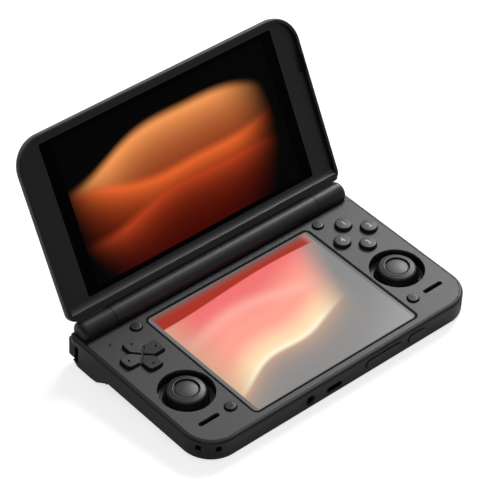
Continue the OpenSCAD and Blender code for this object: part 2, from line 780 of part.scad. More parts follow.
// Stick: shaft with its cross pin, the dome and the thumb cap
module stick_cap(side) {
  top = base_t + cap_rise - pivot_z;
  under = top - 2.7;
  skirt = under - 0.65;
  color("#1b1b1b") at_stick(side) {
    rotate_extrude() difference() {
      union() {
        polygon(concat([[0, skirt]], [[0, top - 0.15]], cap_profile(cap_r, top),
          [[cap_r - 0.8, skirt]]));
        square([1.5, under]);
        intersection() {
          circle(1.5);
          translate([0, -2]) square([2, 3]);
        }
        // dome, a shell round the tilting centre
        intersection() {
          difference() {
            circle(skirt_r);
            circle(skirt_r - 0.6);
          }
          polygon([[0, under], [skirt_r, under], [skirt_r + 2, skirt_r * cos(79)], [3, 1.6],
            [3, under - 0.6]]);
        }
      }
      // hollow under the cap
      polygon([[2.2, under - 2], [2.2, under + 0.8], [cap_r - 1.9, under + 0.8],
        [cap_r - 1.4, skirt], [cap_r - 1.2, under - 2]]);
      translate([-5, -5]) square([5, 20]);
    }
    rotate([0, 0, 90]) bar_x(0.5, -2.6, 2.6);
  }
}

// Socket on the board for the direction pad's pivot ball
module dpad_seat() {
  color(black_plastic) at_dpad() difference() {
    translate([0, 0, board_top + fit]) cylinder(r = 2.6, h = dpad_pivot_z - board_top - 0.3);
    translate([0, 0, dpad_pivot_z]) sphere(dpad_ball_r + run_gap);
  }
}

module dpad_pivot() {
  color(steel_colour) at_dpad() translate([0, 0, dpad_pivot_z]) sphere(dpad_ball_r);
}

// Cross of the direction pad, with a flange below the deck
module dpad_cross() {
  top = base_t + dpad_rise;
  color(key_colour) at_dpad() difference() {
    union() {
      translate([0, 0, dpad_flange_z]) linear_extrude(0.7)
        cross_plan(dpad_l + 1.8, dpad_w + 2.4, 1.5);
      translate([0, 0, dpad_flange_z]) linear_extrude(top - dpad_flange_z) intersection() {
        cross_plan(dpad_l, dpad_w, 1.2);
        circle(dpad_l / 2);
      }
      translate([0, 0, dpad_pivot_z]) cylinder(r = 2.6, h = dpad_flange_z - dpad_pivot_z + 0.2);
    }
    translate([0, 0, dpad_pivot_z]) sphere(dpad_ball_r + run_gap);
    // grooves between the arms
    for (a = [45, 135]) rotate([0, 0, a]) translate([0, 0, top])
      rotate([45, 0, 0]) cube([12, 1, 1], center = true);
    translate([0, 0, top + 9.4]) sphere(9.9);
  }
}

module round_key(p, r, top) {
  translate([p[0], p[1], flange_z]) rotate_extrude() {
    square([r + flange_w, flange_t]);
    edge_section(r, 0, top - flange_z, 0, 0.5);
  }
}

module action_button(i) {
  color(key_colour) round_key(action_at[i], action_r, base_t + action_rise);
}

module menu_button(i) {
  color(key_colour) round_key(menu_at[i], menu_r, base_t + menu_rise);
}

// Shoulder lever on its upright pin; the trigger is the lower one
module shoulder_lever(side, z) {
  color(black_plastic) on_side(side) translate([0, 0, z]) linear_extrude(shoulder_h)
    lever_plan(lever_tip, pocket_x + 0.8, lever_back);
}

module shoulder_pins() {
  color(steel_colour) both() translate([lever_pin_x, lever_pin_y, pocket_z - 0.5])
    cylinder(r = lever_pin_r, h = pocket_top - pocket_z + 0.4);
}

// Switches behind the shoulder buttons and the triggers
module shoulder_switches() {
  color(steel_colour) both() for (z = [trigger_z, shoulder_z])
    translate([pocket_x + 17, pocket_y, z + 0.4]) cube([3.6, 0.9, shoulder_h - 0.8]);
}

// Power button: slides into the front wall
module power_button() {
  color(key_colour) {
    run_y(front_y - side_key_rise, cavity_front + 0.5)
      translate([power_x, port_z]) stadium(power_l, side_key_h);
    run_y(cavity_front + 0.1, cavity_front + 0.8)
      translate([power_x, port_z]) stadium(power_l + 1.4, side_key_h + 1);
  }
}

// Volume rocker: tilts on an upright pin behind the front wall
module volume_rocker() {
  color(key_colour) difference() {
    union() {
      run_y(front_y - side_key_rise, cavity_front + 0.7)
        translate([volume_x, port_z]) stadium(volume_l, side_key_h);
      run_y(cavity_front + 0.5, cavity_front + 1.1)
        translate([volume_x, port_z]) stadium(volume_l + 1.2, side_key_h + 1);
      translate([volume_x, volume_axis_y, port_z - side_key_h / 2])
        cylinder(r = 0.95, h = side_key_h);
    }
    translate([volume_x, volume_axis_y, 0]) cylinder(r = 0.5 + run_gap, h = base_t);
  }
}

module volume_pin() {
  color(steel_colour) translate([volume_x, volume_axis_y, port_board_top])
    cylinder(r = 0.5, h = port_z + 3 - port_board_top);
}

// Board along the front wall, with the switches of the side keys
module port_board() {
  switch_y = cavity_front + 1.7;
  color(board_colour) {
    translate([-30, cavity_front + 0.2, port_board_z])
      cube([29.7 + side_board_x, 12, port_board_t]);
    for (x = [power_x, volume_x - 7, volume_x + 7])
      translate([x - 1.8, switch_y, port_board_top - 0.1]) cube([3.6, 2.4, port_z + 0.9 - port_board_top]);
  }
}

// Headphone jack: a blind round bore behind the front wall
module audio_jack() {
  color(black_plastic) difference() {
    union() {
      translate([-jack_x, cavity_front + 1, jack_z]) rotate([90, 0, 0])
        cylinder(r = jack_nose_r, h = wall_t + 0.9);
      translate([-jack_x - 3.1, deck_front, port_board_top + fit])
        cube([6.2, jack_l - rim_w, deck_under - 0.5 - port_board_top]);
    }
    translate([-jack_x, front_y + jack_l - 1, jack_z]) rotate([90, 0, 0])
      cylinder(r = jack_bore_r, h = base_d);
  }
}

// Charging port: a flattened steel shell with a tongue
module usb_port() {
  color(steel_colour) translate([-usb_x, 0, usb_z]) {
    difference() {
      run_y(front_y + 0.3, front_y + 7.8) stadium(usb_w, usb_h);
      run_y(front_y - cut, front_y + 7.2) stadium(usb_w - 0.6, usb_h - 0.6);
    }
    translate([-3.35, front_y + 1.2, -0.35]) cube([6.7, 6.2, 0.7]);
  }
}

module status_light() {
  color("#b9c4cf") translate([light_at[0], light_at[1], board_top + fit])
    cylinder(r = 0.5, h = base_t - board_top - fit - 0.1);
}

// Friction sleeve of a hinge, fixed in the base's outer barrel segment
module hinge_sleeve(side) {
  color(steel_colour) on_side(side) at_hinge() difference() {
    bar_x(sleeve_r, knuckle_x + 0.1, knuckle_x + sleeve_l);
    bar_x(shaft_r + run_gap, knuckle_x - cut, knuckle_x + sleeve_l + cut);
  }
}

// Hinge shaft with the ring that sits in the lid's barrel and the arm to the lid's frame
module hinge_shaft(side) {
  color(steel_colour) on_side(side) in_lid() {
    bar_x(shaft_r, arm_x - arm_w / 2, knuckle_x + sleeve_l - 0.5);
    bar_x(barrel_bore_r - 0.1, arm_x - arm_w / 2, arm_x + arm_w / 2);
    translate([arm_x - arm_w / 2, -upper_glass_near + 0.4, arm_z])
      cube([arm_w, upper_glass_near - 0.4, arm_t]);
  }
}

module arm_slot(y0) {
  both() translate([arm_x - arm_w / 2 - 0.2, -upper_glass_near - 1, arm_z - 0.1])
    cube([arm_w + 0.4, upper_glass_near + 1 - y0, arm_t + 0.2]);
}

// Middle barrel of the hinge: a tube with a neck that carries the lid
module hinge_barrel() {
  color(lid_colour) in_lid() difference() {
    union() {
      bar_x(barrel_r, -barrel_half, barrel_half);
      translate([-barrel_half + 0.3, -lid_near - 0.5, neck_z0])
        cube([2 * barrel_half - 0.6, lid_near, neck_z1 - neck_z0]);
    }
    bar_x(barrel_bore_r, -barrel_half - cut, barrel_half + cut);
    arm_slot(0);
  }
}

// Ribbon cable of the upper display, rolled up in the hinge barrel
module display_flex() {
  color("#6d4a22") in_lid() difference() {
    bar_x(barrel_bore_r - 0.2, 16 - barrel_half, barrel_half - 16);
    bar_x(barrel_bore_r - 0.6, -barrel_half, barrel_half);
  }
}

module lid_outline(in, z0, z1) {
  translate([0, 0, z0]) linear_extrude(z1 - z0)
    round_rect(-half_w + in, half_w - in, -lid_far + in, -lid_near - in,
      lid_far_r - in, max(1, lid_near_r - in));
}

// notch in the lid's right edge, to open it with a fingertip
module finger_notch() {
  translate([half_w - 4.8, 20 - lid_far, -lid_lift]) linear_extrude(2 * lid_lift + 0.9)
    round_rect(0, 3.6, 0, 8.8, 1.2, 1.2);
}

// plan of the bezel: it runs out over the near edge, between the side lips
module bezel_plan(in) {
  intersection() {
    round_rect(-half_w + in, half_w - in, -lid_far + in, 0, lid_far_r - in, 1);
    round_rect(-half_w, half_w, -lid_far, -lid_near - fit, lid_far_r, lid_near_r);
  }
}

// Lid's back shell, with a lip round three sides of the inner face
module lid_cover() {
  color(lid_colour) in_lid() difference() {
    soft_slab(-half_w, half_w, -lid_far, -lid_near, lid_far_r, lid_near_r,
      lid_lift - lip_h, lid_back_z, 0.8, lid_round);
    translate([0, 0, -lid_lift]) linear_extrude(2 * lid_lift + bezel_t + fit)
      round_rect(-half_w + lip_w, half_w - lip_w, -lid_far + lip_w, 0, lid_far_r - lip_w, 1);
    translate([-barrel_half, -lid_near - 0.5 - fit, 0])
      cube([2 * barrel_half, 2, neck_z1 + fit]);
    lid_outline(lip_w + 1.5, lid_lift, lid_cover_in);
    arm_slot(0);
    finger_notch();
    for (p = lid_screw_at) translate([p[0], p[1], 0]) cylinder(r = 0.65, h = lid_cover_in + 0.8);
  }
}

// Frame round the upper glass, with a raised strip along the hinge side
module lid_bezel() {
  run = upper_glass_near - 0.3 - lid_near - ridge_w;
  cove = (run * run + ridge_h * ridge_h) / (2 * ridge_h);
  color(lid_colour) in_lid() difference() {
    intersection() {
      translate([0, 0, lid_lift - ridge_h]) linear_extrude(bezel_t + ridge_h)
        bezel_plan(bezel_in);
      union() {
        translate([-half_w, -lid_far, lid_lift]) cube([base_w, lid_far, bezel_t]);
        run_x(-half_w, half_w) difference() {
          translate([-lid_near - ridge_w - run, lid_lift - ridge_h])
            square([ridge_w + run, ridge_h + 0.4]);
          translate([-lid_near - ridge_w - run, lid_lift - cove]) circle(cove);
        }
      }
    }
    translate([0, 0, -lid_lift]) linear_extrude(4 * lid_lift + bezel_t)
      round_rect(-upper_glass_half - 0.1, upper_glass_half + 0.1,
        -upper_glass_near - upper_glass_l - 0.1, -upper_glass_near + 0.1, 1, 1);
    finger_notch();
  }
}

module upper_glass() {
  color(glass_colour) in_lid() translate([0, 0, upper_glass_z]) linear_extrude(upper_glass_t)
    round_rect(-upper_glass_half, upper_glass_half, -upper_glass_near - upper_glass_l,
      -upper_glass_near, 0.9, 0.9);
}

// Display panel, bonded behind the upper glass
module upper_display() {
  color(black_plastic) in_lid() translate([0, 0, upper_display_z])
    linear_extrude(upper_display_t) round_rect(-upper_glass_half + 3, upper_glass_half - 3,
      -upper_glass_near - upper_glass_l + 1.5, -upper_glass_near - 1.5, 1, 1);
}

// Steel sheet behind the display, screwed to the cover and to the hinge arms
module lid_frame() {
  color(steel_colour) in_lid() difference() {
    translate([0, 0, lid_frame_z]) linear_extrude(lid_frame_t)
      round_rect(-half_w + 7.2, half_w - 7.2, -lid_far + 7, -lid_near - 3.4, 6, 2);
    for (p = lid_screw_at) translate([p[0], p[1], 0]) cylinder(r = 0.65, h = lid_t + lid_lift);
  }
}

module base_screws() {
  color(steel_colour) for (p = base_screw_at) translate([p[0], p[1], 1.4 - screw_head_t]) {
    cylinder(r = screw_head_r, h = screw_head_t);
    cylinder(r = screw_r, h = deck_under - 3.2);
  }
}

module lid_screws() {
  color(steel_colour) in_lid() for (p = lid_screw_at)
    translate([p[0], p[1], lid_frame_z - 0.7]) {
      cylinder(r = 1.3, h = 0.65);
      cylinder(r = 0.6, h = lid_cover_in + 0.7 - lid_frame_z + 0.7);
    }
}

// Rubber pads under the rear grip
module rubber_feet() {
  color(rubber_colour) both() run_x(14, 44) {
    polygon([
      [rear_y - 12, 0.31 - grip_drop], [rear_y - 8.3, -0.014 - grip_drop],
      [rear_y - 8.35, -0.62 - grip_drop], [rear_y - 12.05, -0.3 - grip_drop]
    ]);
  }
}

base_tray();
deck_plate();
lower_gasket();
lower_glass();
lower_display();
main_board();
processor_shield();
battery();
control_board(-1);  // control_board_left
control_board(1);  // control_board_right
key_pad(-1);  // key_pad_left
key_pad(1);  // key_pad_right
speaker(-1);  // speaker_left
speaker(1);  // speaker_right
stick_housing(-1);  // stick_housing_left
stick_housing(1);  // stick_housing_right
stick_slider(-1);  // stick_slider_left
stick_slider(1);  // stick_slider_right
stick_gimbal(-1);  // stick_gimbal_left
stick_gimbal(1);  // stick_gimbal_right
stick_cap(-1);  // stick_cap_left
stick_cap(1);  // stick_cap_right
dpad_seat();
dpad_pivot();
dpad_cross();
action_button(0);  // action_button_rear
action_button(1);  // action_button_right
action_button(2);  // action_button_front
action_button(3);  // action_button_left
menu_button(0);  // menu_button_rear_left
menu_button(1);  // menu_button_rear_right
menu_button(2);  // menu_button_front_left
menu_button(3);  // menu_button_front_right
shoulder_lever(-1, shoulder_z);  // shoulder_button_left
shoulder_lever(1, shoulder_z);  // shoulder_button_right
shoulder_lever(-1, trigger_z);  // trigger_left
shoulder_lever(1, trigger_z);  // trigger_right
shoulder_pins();
shoulder_switches();
power_button();
volume_rocker();
volume_pin();
port_board();
audio_jack();
usb_port();
status_light();
hinge_sleeve(-1);  // hinge_sleeve_left
hinge_sleeve(1);  // hinge_sleeve_right
hinge_shaft(-1);  // hinge_shaft_left
hinge_shaft(1);  // hinge_shaft_right
hinge_barrel();
display_flex();
lid_cover();
lid_bezel();
lid_frame();
upper_glass();
upper_display();
rubber_feet();
base_screws();
lid_screws();
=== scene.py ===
import math

import bmesh
import bpy
from mathutils import Matrix, Vector


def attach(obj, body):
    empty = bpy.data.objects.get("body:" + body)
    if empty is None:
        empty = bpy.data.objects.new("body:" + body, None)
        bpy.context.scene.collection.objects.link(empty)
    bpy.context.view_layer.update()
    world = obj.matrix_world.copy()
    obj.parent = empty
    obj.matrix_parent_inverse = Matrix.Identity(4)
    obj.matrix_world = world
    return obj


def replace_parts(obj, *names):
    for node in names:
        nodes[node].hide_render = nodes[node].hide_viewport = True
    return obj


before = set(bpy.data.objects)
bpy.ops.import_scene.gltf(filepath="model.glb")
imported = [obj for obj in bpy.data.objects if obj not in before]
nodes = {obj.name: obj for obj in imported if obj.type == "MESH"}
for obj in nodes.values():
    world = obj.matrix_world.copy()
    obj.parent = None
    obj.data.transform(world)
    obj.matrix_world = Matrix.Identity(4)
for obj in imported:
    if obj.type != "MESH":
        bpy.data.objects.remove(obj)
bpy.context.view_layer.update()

MM = 0.001
scene = bpy.context.scene
scene.view_settings.view_transform = "Standard"

# ---------------------------------------------------------------- camera
# A long lens, high over the front left corner, rolled a little.
camera = bpy.data.objects.new("camera", bpy.data.cameras.new("camera"))
scene.collection.objects.link(camera)
camera.data.lens, camera.data.sensor_width = 193.36, 36
camera.data.clip_start, camera.data.clip_end = 0.05, 20
camera.matrix_world = Matrix((
    (0.752886, 0.413752, -0.511832, -567.19 * MM),
    (-0.657077, 0.516935, -0.548660, -583.61 * MM),
    (0.037574, 0.749392, 0.661060, 768.03 * MM),
    (0, 0, 0, 1),
))
scene.camera = camera

# ---------------------------------------------------------------- floor and light
# The console lies on its front edge and its two rear feet, so the table slopes up to the
# front in this frame. A large softbox stands to the rear right, and a weaker one hangs over
# the front left.
FEET = Vector((0, 37.25, -6.02)) * MM
SLOPE = math.radians(4.235)


class Value:
    """One output of a material's nodes. Its arithmetic adds Math nodes."""

    def __init__(self, shade, socket):
        self.shade, self.socket = shade, socket

    def __add__(self, b):
        return self.shade.math("ADD", self, b)

    def __sub__(self, b):
        return self.shade.math("SUBTRACT", self, b)

    def __rsub__(self, b):
        return self.shade.math("SUBTRACT", b, self)

    def __mul__(self, b):
        return self.shade.math("MULTIPLY", self, b)

    def __truediv__(self, b):
        return self.shade.math("DIVIDE", self, b)

    def __rtruediv__(self, b):
        return self.shade.math("DIVIDE", b, self)

    def __neg__(self):
        return self.shade.math("MULTIPLY", self, -1)

    def __abs__(self):
        return self.shade.math("ABSOLUTE", self)

    __radd__, __rmul__ = __add__, __mul__


class Shade:
    """A material with one Principled shader. x, y and z are object coordinates in mm."""

    def __init__(self, name, rough=0.5, level=0.25, metallic=0.0):
        self.material = bpy.data.materials.new(name)
        self.material.use_nodes = True
        self.tree = self.material.node_tree
        self.tree.nodes.clear()
        out = self.tree.nodes.new("ShaderNodeOutputMaterial")
        self.shader = self.tree.nodes.new("ShaderNodeBsdfPrincipled")
        self.tree.links.new(self.shader.outputs["BSDF"], out.inputs["Surface"])
        self.set("Roughness", rough)
        self.set("Specular IOR Level", level)
        self.set("Metallic", metallic)
        at = self.node("ShaderNodeTexCoord", {}, "Object")
        self.place = self.node("ShaderNodeVectorMath", {"Vector": at, "Scale": 1 / MM}, operation="SCALE")
        self.x, self.y, self.z = (
            self.node("ShaderNodeSeparateXYZ", {"Vector": self.place}, axis) for axis in "XYZ")

    def wire(self, socket, value):
        if isinstance(value, Value):
            self.tree.links.new(value.socket, socket)
        elif socket.type == "RGBA" and len(value) == 3:
            socket.default_value = (*value, 1)
        else:
            socket.default_value = value

    def set(self, name, value):
        self.wire(self.shader.inputs[name], value)

    def node(self, kind, sockets, take=0, **settings):
        """One output of a new node. Its settings are made before its sockets are wired."""
        new = self.tree.nodes.new(kind)
        for key, value in settings.items():
            setattr(new, key, value)
        for key, value in sockets.items():
            self.wire(new.inputs[key], value)
        return Value(self, new.outputs[take])

    def math(self, operation, *values):
        return self.node("ShaderNodeMath", dict(enumerate(values)), operation=operation)

    def least(self, a, b):
        return self.math("MINIMUM", a, b)

    def most(self, a, b):
        return self.math("MAXIMUM", a, b)

    def exp(self, a):
        return self.math("EXPONENT", a)

    def wave(self, along, height, rate, start):
        """A sine wave of that height."""
        return height * self.math("SINE", rate * along + start)

    def glint(self, value, spread):
        """1 where value is 0, falling softly to both sides."""
        return self.exp(-value * value / spread)

    def step(self, value, low, high):
        """0 below low and 1 above high, smooth between; falls where low is above high."""
        if low > high:
            return 1 - self.step(value, high, low)
        ends = {"Value": value, "From Min": low, "From Max": high}
        return self.node("ShaderNodeMapRange", ends, interpolation_type="SMOOTHSTEP")

    def mix(self, amount, a, b):
        """Colour a where amount is 0 and colour b where it is 1."""
        return self.node("ShaderNodeMix", {0: amount, 6: a, 7: b}, 2, data_type="RGBA")

    def noise(self, size, detail=2, rough=0.5, stretch=(1, 1, 1)):
        """Soft noise from 0 to 1 whose features are about size mm across."""
        scale = tuple(s / size for s in stretch)
        at = self.node("ShaderNodeVectorMath", {0: self.place, 1: scale}, operation="MULTIPLY")
        look = {"Vector": at, "Scale": 1.0, "Detail": detail, "Roughness": rough}
        return self.node("ShaderNodeTexNoise", look, "Fac")

    def bump(self, height, mm):
        """Raises the surface by mm where height is 1."""
        self.set("Normal", self.node("ShaderNodeBump", {
            "Height": height, "Distance": mm * MM, "Strength": 1.0}))

    def tone(self, colour, amount, by):
        """colour, a share lighter where by is 1 and as much darker where it is 0."""
        low, high = (tuple(c * (1 + s * amount) for c in colour) for s in (-1, 1))
        self.set("Base Color", self.mix(by, low, high))


def finish(obj, shade):
    """One material on the whole object."""
    obj.data.materials.clear()
    obj.data.materials.append(shade.material)
    return obj


def softbox(name, at, aim, size, watts):
    lamp = bpy.data.objects.new(name, bpy.data.lights.new(name, "AREA"))
    lamp.data.shape, lamp.data.size, lamp.data.energy = "SQUARE", size, watts
    scene.collection.objects.link(lamp)
    lamp.location = at
    lamp.rotation_euler = (Vector(aim) - Vector(at)).to_track_quat("-Z", "Y").to_euler()


floor = bpy.data.objects.new("floor", bpy.data.meshes.new("floor"))
bm = bmesh.new()
bmesh.ops.create_grid(bm, x_segments=1, y_segments=1, size=3)
bm.to_mesh(floor.data)
bm.free()
scene.collection.objects.link(floor)
floor.matrix_world = Matrix.Translation(FEET) @ Matrix.Rotation(-SLOPE, 4, "X")
paper = Shade("paper", 0.9, 0.0)
paper.tone((0.62, 0.62, 0.62), 0.01, paper.noise(30))
camera_ray, glossy_ray, glass_ray = (
    paper.node("ShaderNodeLightPath", {}, "Is " + kind + " Ray")
    for kind in ("Camera", "Glossy", "Transmission"))
paper.set("Emission Color", (1, 1, 1))
paper.set("Emission Strength", 0.72 * paper.least(camera_ray + 0.2 * glossy_ray + glass_ray, 1))
paper.set("Alpha", 1 - paper.node("ShaderNodeNewGeometry", {}, "Backfacing"))
finish(floor, paper)

# White behind for the camera; in gloss the studio is white behind and dims to the front
# left, where it is black cloth; everything else gets a weak light from all round.
BRIGHT_SIDE = (0.62, 0.62, 0.48)
world = bpy.data.worlds.new("studio")
world.use_nodes = True
scene.world = world
sky = world.node_tree
rays, way, facing, fall = (sky.nodes.new(kind) for kind in (
    "ShaderNodeLightPath", "ShaderNodeTexCoord", "ShaderNodeVectorMath", "ShaderNodeMapRange"))
facing.operation, facing.inputs[1].default_value = "DOT_PRODUCT", BRIGHT_SIDE
fall.interpolation_type = "SMOOTHSTEP"
for key, value in (("From Min", -0.3), ("From Max", 0.85), ("To Min", 0.12), ("To Max", 1.0)):
    fall.inputs[key].default_value = value
white, gloss, dim = (sky.nodes["Background"], sky.nodes.new("ShaderNodeBackground"),
                     sky.nodes.new("ShaderNodeBackground"))
white.inputs["Color"].default_value = gloss.inputs["Color"].default_value = (1, 1, 1, 1)
dim.inputs["Color"].default_value = (0.95, 0.97, 1, 1)
dim.inputs["Strength"].default_value = 0.25
seen = sky.nodes.new("ShaderNodeMath")
seen.operation = "MAXIMUM"
soft, mixed = sky.nodes.new("ShaderNodeMixShader"), sky.nodes.new("ShaderNodeMixShader")
for a, b in (
    (way.outputs["Generated"], facing.inputs[0]),
    (facing.outputs["Value"], fall.inputs["Value"]),
    (fall.outputs[0], gloss.inputs["Strength"]),
    (rays.outputs["Is Camera Ray"], seen.inputs[0]),
    (rays.outputs["Is Transmission Ray"], seen.inputs[1]),
    (rays.outputs["Is Glossy Ray"], soft.inputs[0]),
    (dim.outputs[0], soft.inputs[1]),
    (gloss.outputs[0], soft.inputs[2]),
    (seen.outputs[0], mixed.inputs[0]),
    (soft.outputs[0], mixed.inputs[1]),
    (white.outputs[0], mixed.inputs[2]),
    (mixed.outputs[0], sky.nodes["World Output"].inputs[0]),
):
    sky.links.new(a, b)

softbox("key", (1.0, 0.5, 0.93), (0, 0, 0), 0.5, 15)
softbox("fill", (-0.6, -0.8, 1.2), (0, 0, 0.02), 0.9, 2.0)

# ---------------------------------------------------------------- deck
# A grey satin-coated plate screwed from below. Every hole has a small radius, and the edge
# sits a hair inside the rim of the case.
DECK_X, DECK_Y0, DECK_Y1 = 75.95, -43.85, 35.05
DECK_FRONT_ROUND, DECK_REAR_ROUND, DECK_EDGE = 12.85, 1.5, 0.14
TOP, UNDER = 10.6, 9.1
WINDOW, WINDOW_ROUND = (-47.35, 47.35, -41.25, 32.05), 3
STICK, STICK_HOLE = (60.7, -12.65), 12.4
PAD, PAD_HOLE = (-61.8, 14.95), (21.1, 8.0, 1.6)
ACTION = {"rear": (61.5, 23.05), "right": (69.6, 14.95), "front": (61.5, 6.85), "left": (53.4, 14.95)}
MENU = {"rear_left": (-52.6, 30.25), "rear_right": (52.6, 30.25),
        "front_left": (-52.6, -31.25), "front_right": (52.6, -31.25)}
ACTION_HOLE, MENU_HOLE = 4.1, 2.85
SPEAKER, SPEAKER_SLOT = (64.4, -31.35), (10.8, 2.1)
LIGHT, LIGHT_HOLE = (-68.2, 28.55), 0.55


def arc(cx, cy, r, a0, a1, n=12):
    return [(cx + r * math.cos(math.radians(a0 + (a1 - a0) * i / n)),
             cy + r * math.sin(math.radians(a0 + (a1 - a0) * i / n))) for i in range(n + 1)]


def ring(at, r, n=72):
    return arc(at[0], at[1], r, 0, 360, n)[:-1]


def boxed(x0, x1, y0, y1, low, high=None):
    """Rectangle with the corner radius low at the front and high at the rear."""
    high = low if high is None else high
    return (arc(x0 + low, y0 + low, low, 180, 270) + arc(x1 - low, y0 + low, low, 270, 360)
            + arc(x1 - high, y1 - high, high, 0, 90) + arc(x0 + high, y1 - high, high, 90, 180))


def stadium(cx, cy, length, width):
    """Slot with round ends."""
    d, r = (length - width) / 2, width / 2
    return arc(cx + d, cy, r, -90, 90, 20) + arc(cx - d, cy, r, 90, 270, 20)


def arm_tip(length, width, turn, n=8):
    """Rounded end of one arm of the direction pad, on a circle round its middle."""
    pts, reach, half = [], length / 2, width / 2
    for i in range(-n, n + 1):
        y = half * math.sin(math.pi / 2 * i / n)
        cut = min(1, max(0, abs(y) - (half - turn)) / turn)
        pts.append((math.sqrt(reach * reach - y * y) - turn * (1 - math.sqrt(1 - cut * cut)), y))
    return pts


def pad_plan(length, width, turn):
    """Outline of the direction pad's cross, with a small radius in its inner corners."""
    inner = 0.5
    corner = width / 2 + inner
    arm, pts = arm_tip(length, width, turn) + arc(corner, corner, inner, 265, 185, 4), []
    for c, s in ((1, 0), (0, 1), (-1, 0), (0, -1)):
        pts += [(PAD[0] + c * x - s * y, PAD[1] + s * x + c * y) for x, y in arm]
    return pts


def add_mesh(name, me, body, place=None):
    """Makes the object of a mesh in mm, in place, and lets it ride on a body."""
    me.transform((Matrix.Scale(MM, 4) @ place) if place else Matrix.Scale(MM, 4))
    obj = bpy.data.objects.new(name, me)
    scene.collection.objects.link(obj)
    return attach(obj, body)


def shaded(bm, flats=True):
    """Smooth shading, broken at sharp edges and, on a plate, round its flat faces."""
    bm.normal_update()
    level = {f: flats and abs(f.normal.z) > 0.9999 for f in bm.faces}
    for face in bm.faces:
        face.smooth = not level[face]
    for edge in bm.edges:
        sides = [level[f] for f in edge.link_faces]
        edge.smooth = len(set(sides)) < 2 and edge.calc_face_angle(0) < math.radians(35)


def plate(loops, z0, z1, edge, steps=3):
    """Flat plate cut to the loops, the first outside and the rest holes, edges rounded."""
    curve = bpy.data.curves.new("plate", "CURVE")
    curve.dimensions, curve.fill_mode = "2D", "BOTH"
    curve.extrude, curve.bevel_depth, curve.offset = (z1 - z0) / 2 - edge, edge, -edge
    curve.bevel_resolution = steps
    for loop in loops:
        spline = curve.splines.new("POLY")
        spline.points.add(len(loop) - 1)
        for point, (x, y) in zip(spline.points, loop):
            point.co = (x, y, 0, 1)
        spline.use_cyclic_u = True
    obj = bpy.data.objects.new("plate", curve)
    scene.collection.objects.link(obj)
    me = bpy.data.meshes.new_from_object(obj.evaluated_get(bpy.context.evaluated_depsgraph_get()))
    bpy.data.objects.remove(obj)
    bpy.data.curves.remove(curve)
    bm = bmesh.new()
    bm.from_mesh(me)
    bmesh.ops.remove_doubles(bm, verts=bm.verts, dist=1e-4)
    bmesh.ops.recalc_face_normals(bm, faces=bm.faces)
    bmesh.ops.translate(bm, verts=bm.verts, vec=(0, 0, (z0 + z1) / 2))
    shaded(bm)
    bm.to_mesh(me)
    bm.free()
    return me


holes = [boxed(*WINDOW, WINDOW_ROUND), pad_plan(*PAD_HOLE)]
holes += [ring((s * STICK[0], STICK[1]), STICK_HOLE, 128) for s in (-1, 1)]
holes += [ring(at, ACTION_HOLE) for at in ACTION.values()]
holes += [ring(at, MENU_HOLE, 56) for at in MENU.values()]
holes += [stadium(s * SPEAKER[0], SPEAKER[1], *SPEAKER_SLOT) for s in (-1, 1)]
holes += [ring(LIGHT, LIGHT_HOLE, 24)]
rim = boxed(-DECK_X, DECK_X, DECK_Y0, DECK_Y1, DECK_FRONT_ROUND, DECK_REAR_ROUND)
deck = add_mesh("deck_panel", plate([rim] + holes, UNDER, TOP, DECK_EDGE), "base")
coat = Shade("deck_coat", level=0.3)
flake = coat.noise(0.22, 2, 0.7)
coat.tone((0.040, 0.040, 0.0405), 0.05, 0.6 * flake + 0.4 * coat.noise(14))
coat.set("Roughness", 0.42 + 0.05 * coat.noise(3, 3))
coat.bump(flake, 0.005)
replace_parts(finish(deck, coat), "deck_plate")

# ---------------------------------------------------------------- case
# The lower half: walls, floor and grip in one black moulding with a fine grain, rounded
# above and below. The wells round the sticks are the same plastic, set under the deck, and
# the rubber feet are glued under the grip.
PIVOT = 3.6
WELL_HOLE, WELL_WALL, WELL_OUT = 10.1, 12.42, 13.3
WELL_UNDER, WELL_FLOOR, WELL_BEAD, WELL_RIM = 0.8, 1.6, 2.15, 5.45


def lathe(profile, at=(0, 0), z=0, n=96):
    """Turned mesh from (radius, height) points; a closed profile makes a ring."""
    bm = bmesh.new()
    rows = []
    for r, h in profile:
        if r < 1e-6:
            rows.append([bm.verts.new((at[0], at[1], z + h))] * n)
        else:
            rows.append([bm.verts.new((at[0] + r * math.cos(math.tau * i / n),
                                       at[1] + r * math.sin(math.tau * i / n), z + h))
                         for i in range(n)])
    for a, b in zip(rows, rows[1:]):
        for i in range(n):
            j = (i + 1) % n
            corners = list(dict.fromkeys((a[i], a[j], b[j], b[i])))
            if len(corners) > 2:
                bm.faces.new(corners)
    bmesh.ops.remove_doubles(bm, verts=bm.verts, dist=1e-5)
    bmesh.ops.recalc_face_normals(bm, faces=bm.faces)
    shaded(bm, False)
    me = bpy.data.meshes.new("lathe")
    bm.to_mesh(me)
    bm.free()
    return me


def moulded(name, colour, rough, level=0.1, grain=0.35, depth=0.01, mottle=0.08):
    """Moulded plastic with a spark-eroded grain, slightly uneven in colour and gloss."""
    s = Shade(name, level=level)
    fine, broad = s.noise(grain, 3, 0.6), s.noise(grain * 40, 2)
    s.tone(colour, mottle, 0.5 * fine + 0.5 * broad)
    s.set("Roughness", rough - 0.05 + 0.1 * s.noise(grain * 9, 3))
    s.bump(fine, depth)
    return s


def carried(names, shade):
    """CAD nodes that stay in view, with the finish of the real piece."""
    for name in names.split():
        for p in finish(nodes[name], shade).data.polygons:
            p.use_smooth = True
        nodes[name].data.set_sharp_from_angle(angle=math.radians(35))


